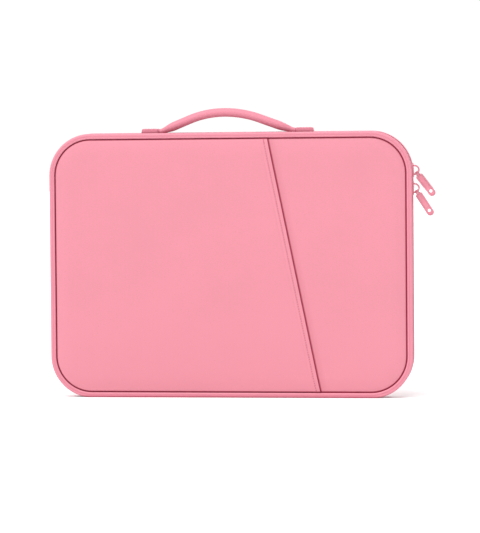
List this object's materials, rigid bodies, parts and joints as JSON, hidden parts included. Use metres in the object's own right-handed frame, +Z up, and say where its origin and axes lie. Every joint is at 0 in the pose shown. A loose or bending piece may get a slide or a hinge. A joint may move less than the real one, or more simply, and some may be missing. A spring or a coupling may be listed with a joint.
{
  "type": "laptop sleeve",
  "caption": "Slim upright padded laptop sleeve with rounded rims, zipped hinged front, slanted slip pocket, arched top handle and corner zip pulls.",
  "frame": {"origin": "middle of the base, on the flat under-face of the bottom gusset, with the sleeve standing on its long edge", "axes": "+X along the width, towards the zip sliders; +Y towards the plain back, so the pocket faces -Y; +Z up, towards the handle"},
  "size_m": [0.3828, 0.0262, 0.2864],
  "materials": {
    "panel_leather": "satin",
    "rim_leather": "satin",
    "rim_core": "matte",
    "gusset_leather": "satin",
    "handle_leather": "satin",
    "handle_core": "matte",
    "foam": "matte",
    "board": "matte",
    "lining": "matte",
    "zip_tape": "matte",
    "zip_coil": "satin",
    "zip_stop": "satin",
    "slider_metal": "satin",
    "pull_metal": "satin",
    "thread": "matte"
  },
  "bodies": {
    "back_shell": {"back_panel": "panel_leather", "back_foam": "foam", "back_board": "board", "back_lining": "lining", "back_rim_cover": "rim_leather", "back_rim_core": "rim_core", "back_gusset": "gusset_leather", "gusset_lining": "lining", "bottom_gusset_back": "gusset_leather", "back_zip_tape": "zip_tape", "back_zip_coil": "zip_coil", "back_zip_stops": "zip_stop", "handle_tab_left": "handle_leather", "handle_tab_right": "handle_leather"},
    "front_cover": {"front_panel": "panel_leather", "front_foam": "foam", "front_board": "board", "front_lining": "lining", "front_rim_cover": "rim_leather", "front_rim_core": "rim_core", "front_zip_tape": "zip_tape", "front_zip_coil": "zip_coil", "front_zip_stops": "zip_stop", "bottom_gusset_front": "gusset_leather", "pocket_panel": "panel_leather", "pocket_hem": "panel_leather", "pocket_stitching": "thread"},
    "handle": {"handle_core": "handle_core", "handle_cover": "handle_leather"},
    "upper_slider": {"upper_slider_body": "slider_metal", "upper_slider_bail": "slider_metal"},
    "upper_clip": {"upper_pull_clip": "pull_metal"},
    "upper_pull": {"upper_pull_tab": "pull_metal"},
    "lower_slider": {"lower_slider_body": "slider_metal", "lower_slider_bail": "slider_metal"},
    "lower_clip": {"lower_pull_clip": "pull_metal"},
    "lower_pull": {"lower_pull_tab": "pull_metal"}
  },
  "joints": [
    {"name": "cover_hinge", "type": "hinge", "parent": "back_shell", "child": "front_cover", "pos_m": [0, -0.004, 0], "axis": [1, 0, 0], "range_deg": [0, 60]},
    {"name": "handle_swing", "type": "hinge", "parent": "back_shell", "child": "handle", "pos_m": [-0.0032, 0.0036, 0.263], "axis": [1, 0, 0], "range_deg": [-50, 50], "stiffness_Nm_per_rad": 0.01},
    {"name": "upper_slider_travel", "type": "hinge", "parent": "back_shell", "child": "upper_slider", "pos_m": [0.139, -0.004, 0.221], "axis": [0, -1, 0], "range_deg": [0, 80]},
    {"name": "upper_pull_turn", "type": "hinge", "parent": "upper_slider", "child": "upper_clip", "pos_m": [0.18236, -0.004, 0.22297], "axis": [0, -1, 0], "range_deg": [0, 100]},
    {"name": "upper_pull_flap", "type": "hinge", "parent": "upper_clip", "child": "upper_pull", "pos_m": [0.1849, -0.004, 0.21963], "axis": [0.7955, 0, 0.606], "range_deg": [-80, 80]},
    {"name": "lower_slider_travel", "type": "slide", "parent": "back_shell", "child": "lower_slider", "axis": [0, 0, -1], "range_m": [0, 0.155]},
    {"name": "lower_pull_turn", "type": "hinge", "parent": "lower_slider", "child": "lower_clip", "pos_m": [0.1824, -0.004, 0.2052], "axis": [0, -1, 0], "range_deg": [0, 15]},
    {"name": "lower_pull_flap", "type": "hinge", "parent": "lower_clip", "child": "lower_pull", "pos_m": [0.18467, -0.004, 0.20167], "axis": [0.8415, 0, 0.5402], "range_deg": [-80, 80]}
  ]
}
